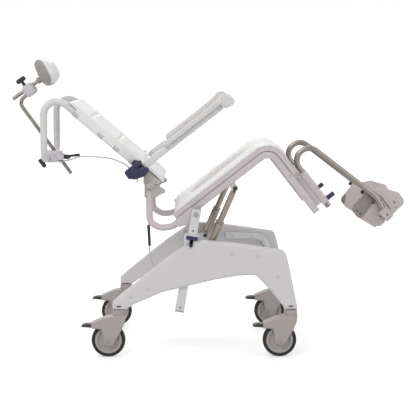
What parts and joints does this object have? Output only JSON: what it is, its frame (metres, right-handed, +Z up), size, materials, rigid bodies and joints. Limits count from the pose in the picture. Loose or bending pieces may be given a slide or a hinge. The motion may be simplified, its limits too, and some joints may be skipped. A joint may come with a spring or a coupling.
{
  "type": "shower commode chair",
  "caption": "Wheeled tilting shower and toilet chair with padded seat opening, reclining back, swing-up arms, head rest and folding foot rests.",
  "frame": {"origin": "on the floor, at the middle of the chair's length and width as it stands tilted back", "axes": "+X to the chair's front, along its length; +Y to its left-hand side, across its width; +Z up"},
  "size_m": [1.4854, 0.557, 1.0948],
  "materials": {
    "frame_paint": "white powder coat",
    "panel": "moulded, light satin",
    "upholstery": "soft integral-skin foam",
    "navy": "satin",
    "grey": "satin",
    "warm_grey": "satin",
    "black": "satin",
    "tyre": "matt",
    "steel": "brushed",
    "foot": "fine grain"
  },
  "bodies": {
    "base": {"panel_R": "panel", "panel_L": "panel", "front_frame": "frame_paint"},
    "carriage": {"column_R": "frame_paint", "column_L": "frame_paint", "carriage_beam": "frame_paint"},
    "seat": {"seat_frame": "frame_paint", "seat_cushion": "upholstery", "recline_bracket_R": "warm_grey", "recline_bracket_L": "warm_grey", "cable_lower": "upholstery"},
    "back": {"back_frame": "frame_paint", "back_pad": "upholstery", "arm_lock_R": "navy", "arm_lock_L": "navy", "head_clamp": "warm_grey", "lever_mount": "warm_grey", "cable_upper": "upholstery"},
    "head_stem": {"head_rod": "steel", "head_joint": "grey"},
    "head_pad": {"pad_rod": "steel", "head_shell": "grey", "head_foam": "upholstery"},
    "clamp_knob": {"clamp_knob": "black"},
    "joint_knob": {"joint_knob": "black"},
    "lever": {"release_lever": "black"},
    "strut_R": {"strut_lower_R": "warm_grey"},
    "strut_rod_R": {"strut_upper_R": "steel"},
    "strut_L": {"strut_lower_L": "warm_grey"},
    "strut_rod_L": {"strut_upper_L": "steel"},
    "arm_R": {"arm_R": "frame_paint", "arm_pad_R": "upholstery"},
    "arm_L": {"arm_L": "frame_paint", "arm_pad_L": "upholstery"},
    "hanger_R": {"hanger_R": "steel", "foot_bracket_R": "warm_grey"},
    "foot_R": {"foot_plate_R": "foot"},
    "foot_knob_R": {"foot_knob_R": "navy"},
    "clip_R": {"height_clip_R": "navy"},
    "hanger_L": {"hanger_L": "steel", "foot_bracket_L": "warm_grey"},
    "foot_L": {"foot_plate_L": "foot"},
    "foot_knob_L": {"foot_knob_L": "navy"},
    "clip_L": {"height_clip_L": "navy"},
    "caster_RR": {"fork_RR": "grey"},
    "wheel_RR": {"hub_RR": "grey", "tyre_RR": "tyre"},
    "brake_RR": {"pedal_RR": "black"},
    "caster_RL": {"fork_RL": "grey"},
    "wheel_RL": {"hub_RL": "grey", "tyre_RL": "tyre"},
    "brake_RL": {"pedal_RL": "black"},
    "caster_FR": {"fork_FR": "grey"},
    "wheel_FR": {"hub_FR": "grey", "tyre_FR": "tyre"},
    "brake_FR": {"pedal_FR": "black"},
    "caster_FL": {"fork_FL": "grey"},
    "wheel_FL": {"hub_FL": "grey", "tyre_FL": "tyre"},
    "brake_FL": {"pedal_FL": "black"}
  },
  "joints": [
    {"name": "seat_height", "type": "slide", "parent": "base", "child": "carriage", "axis": [0.1657, 0, 0.9862], "range_m": [-0.025, 0.075]},
    {"name": "seat_tilt", "type": "hinge", "parent": "carriage", "child": "seat", "pos_m": [-0.036, 0, 0.53], "axis": [0, -1, 0], "range_deg": [-38, 2]},
    {"name": "strut_swing_R", "type": "hinge", "parent": "carriage", "child": "strut_R", "pos_m": [0.0055, -0.205, 0.385], "axis": [0, -1, 0], "range_deg": [-22, 1.5]},
    {"name": "strut_stroke_R", "type": "slide", "parent": "strut_R", "child": "strut_rod_R", "axis": [0.3963, 0, 0.9181], "range_m": [-0.075, 0.0045]},
    {"name": "strut_swing_L", "type": "hinge", "parent": "carriage", "child": "strut_L", "pos_m": [0.0055, 0.205, 0.385], "axis": [0, -1, 0], "range_deg": [-22, 1.5]},
    {"name": "strut_stroke_L", "type": "slide", "parent": "strut_L", "child": "strut_rod_L", "axis": [0.3963, 0, 0.9181], "range_m": [-0.075, 0.0045]},
    {"name": "back_recline", "type": "hinge", "parent": "seat", "child": "back", "pos_m": [-0.209, 0, 0.6346], "axis": [0, -1, 0], "range_deg": [0, 22]},
    {"name": "arm_swing_R", "type": "hinge", "parent": "back", "child": "arm_R", "pos_m": [-0.21509, -0.25, 0.7105], "axis": [0, -1, 0], "range_deg": [0, 75]},
    {"name": "arm_swing_L", "type": "hinge", "parent": "back", "child": "arm_L", "pos_m": [-0.21509, 0.25, 0.7105], "axis": [0, -1, 0], "range_deg": [0, 75]},
    {"name": "head_height", "type": "slide", "parent": "back", "child": "head_stem", "axis": [-0.5818, 0, 0.8133], "range_m": [-0.08, 0.05]},
    {"name": "head_reach", "type": "slide", "parent": "head_stem", "child": "head_pad", "axis": [0.8159, 0, 0.5782], "range_m": [-0.012, 0.035]},
    {"name": "clamp_turn", "type": "hinge", "parent": "back", "child": "clamp_knob", "pos_m": [-0.6115, 0, 0.706], "axis": [-0.8, 0, -0.6], "range_deg": [-90, 90]},
    {"name": "joint_turn", "type": "hinge", "parent": "head_stem", "child": "joint_knob", "pos_m": [-0.68736, 0, 0.99247], "axis": [-0.5782, 0, 0.8159], "range_deg": [-90, 90]},
    {"name": "lever_pull", "type": "hinge", "parent": "back", "child": "lever", "pos_m": [-0.542, -0.105, 0.73], "axis": [0, -1, 0], "range_deg": [0, 16], "stiffness_Nm_per_rad": 0.4},
    {"name": "hanger_length_R", "type": "slide", "parent": "seat", "child": "hanger_R", "axis": [-0.6157, 0, 0.788], "range_m": [-0.018, 0.055]},
    {"name": "foot_fold_R", "type": "hinge", "parent": "hanger_R", "child": "foot_R", "pos_m": [0.69965, -0.14, 0.5215], "axis": [-0.7083, 0, -0.7059], "range_deg": [0, 90]},
    {"name": "foot_knob_turn_R", "type": "hinge", "parent": "seat", "child": "foot_knob_R", "pos_m": [0.4539, -0.165, 0.58027], "axis": [0.788, 0, 0.6157], "range_deg": [-90, 90]},
    {"name": "clip_pull_R", "type": "slide", "parent": "base", "child": "clip_R", "axis": [0, -1, 0], "range_m": [0, 0.03]},
    {"name": "hanger_length_L", "type": "slide", "parent": "seat", "child": "hanger_L", "axis": [-0.6157, 0, 0.788], "range_m": [-0.018, 0.055]},
    {"name": "foot_fold_L", "type": "hinge", "parent": "hanger_L", "child": "foot_L", "pos_m": [0.69965, 0.14, 0.5215], "axis": [0.7083, 0, 0.7059], "range_deg": [0, 90]},
    {"name": "foot_knob_turn_L", "type": "hinge", "parent": "seat", "child": "foot_knob_L", "pos_m": [0.4539, 0.165, 0.58027], "axis": [0.788, 0, 0.6157], "range_deg": [-90, 90]},
    {"name": "clip_pull_L", "type": "slide", "parent": "base", "child": "clip_L", "axis": [0, 1, 0], "range_m": [0, 0.03]},
    {"name": "swivel_RR", "type": "hinge", "parent": "base", "child": "caster_RR", "pos_m": [-0.3185, -0.25, 0.1765], "axis": [0, 0, 1], "continuous": true},
    {"name": "roll_RR", "type": "hinge", "parent": "caster_RR", "child": "wheel_RR", "pos_m": [-0.3585, -0.25, 0.0625], "axis": [0, 1, 0], "continuous": true},
    {"name": "brake_press_RR", "type": "hinge", "parent": "caster_RR", "child": "brake_RR", "pos_m": [-0.4125, -0.25, 0.1175], "axis": [0, -1, 0], "range_deg": [-3, 14]},
    {"name": "swivel_RL", "type": "hinge", "parent": "base", "child": "caster_RL", "pos_m": [-0.3185, 0.25, 0.1765], "axis": [0, 0, 1], "continuous": true},
    {"name": "roll_RL", "type": "hinge", "parent": "caster_RL", "child": "wheel_RL", "pos_m": [-0.3585, 0.25, 0.0625], "axis": [0, 1, 0], "continuous": true},
    {"name": "brake_press_RL", "type": "hinge", "parent": "caster_RL", "child": "brake_RL", "pos_m": [-0.4125, 0.25, 0.1175], "axis": [0, -1, 0], "range_deg": [-3, 14]},
    {"name": "swivel_FR", "type": "hinge", "parent": "base", "child": "caster_FR", "pos_m": [0.3145, -0.25, 0.1765], "axis": [0, 0, 1], "continuous": true},
    {"name": "roll_FR", "type": "hinge", "parent": "caster_FR", "child": "wheel_FR", "pos_m": [0.2745, -0.25, 0.0625], "axis": [0, 1, 0], "continuous": true},
    {"name": "brake_press_FR", "type": "hinge", "parent": "caster_FR", "child": "brake_FR", "pos_m": [0.2205, -0.25, 0.1175], "axis": [0, -1, 0], "range_deg": [-3, 14]},
    {"name": "swivel_FL", "type": "hinge", "parent": "base", "child": "caster_FL", "pos_m": [0.3145, 0.25, 0.1765], "axis": [0, 0, 1], "continuous": true},
    {"name": "roll_FL", "type": "hinge", "parent": "caster_FL", "child": "wheel_FL", "pos_m": [0.2745, 0.25, 0.0625], "axis": [0, 1, 0], "continuous": true},
    {"name": "brake_press_FL", "type": "hinge", "parent": "caster_FL", "child": "brake_FL", "pos_m": [0.2205, 0.25, 0.1175], "axis": [0, -1, 0], "range_deg": [-3, 14]}
  ],
  "couplings": [
    {"joint": "strut_swing_R", "follows": "seat_tilt", "ratio": 0.566},
    {"joint": "strut_stroke_R", "follows": "seat_tilt", "m_per_rad": 0.1115},
    {"joint": "strut_swing_L", "follows": "seat_tilt", "ratio": 0.566},
    {"joint": "strut_stroke_L", "follows": "seat_tilt", "m_per_rad": 0.1115}
  ]
}
